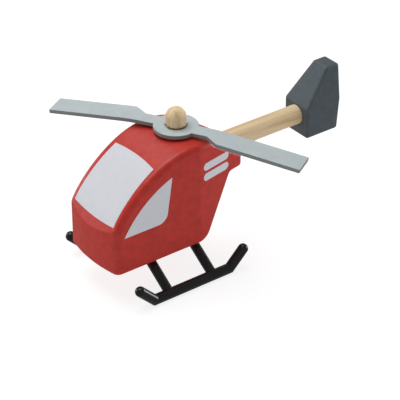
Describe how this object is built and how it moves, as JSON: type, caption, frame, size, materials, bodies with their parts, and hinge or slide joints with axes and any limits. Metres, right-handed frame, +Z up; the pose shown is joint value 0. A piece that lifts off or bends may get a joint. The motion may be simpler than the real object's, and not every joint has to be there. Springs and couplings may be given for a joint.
{
  "type": "toy helicopter",
  "caption": "Wooden toy helicopter with a solid painted body, a turning rotor on a domed peg, a dowel tail boom with a fin, and moulded skids.",
  "frame": {"origin": "on the ground under the skids, at the middle of the toy's length and width", "axes": "+X forward to the nose, +Y to the toy's left side, +Z up along the rotor's axis"},
  "size_m": [0.1768, 0.1468, 0.0979],
  "materials": {
    "red_paint": "satin red paint over a solid wood block",
    "window_paint": "satin pale grey paint over the same wood",
    "bare_wood": "bare pale hardwood, fine straight grain, sanded",
    "slate_paint": "satin dark slate paint over solid wood",
    "grey_plastic": "satin silver grey moulded plastic",
    "black_plastic": "glossy black moulded plastic",
    "black_nylon": "matt black nylon"
  },
  "bodies": {
    "airframe": {"fuselage": "red_paint", "lower_stripe_left": "window_paint", "lower_stripe_right": "window_paint", "rotor_pin": "bare_wood", "rotor_washer": "black_nylon", "side_window_left": "window_paint", "side_window_right": "window_paint", "skid_frame_left": "black_plastic", "skid_frame_right": "black_plastic", "tail_boom": "bare_wood", "tail_fin": "slate_paint", "upper_stripe_left": "window_paint", "upper_stripe_right": "window_paint", "windscreen": "window_paint"},
    "rotor": {"rotor": "grey_plastic"}
  },
  "joints": [
    {"name": "rotor_spin", "type": "hinge", "parent": "airframe", "child": "rotor", "pos_m": [0.0272, 0, 0.0854], "axis": [0, 0, 1], "continuous": true}
  ]
}
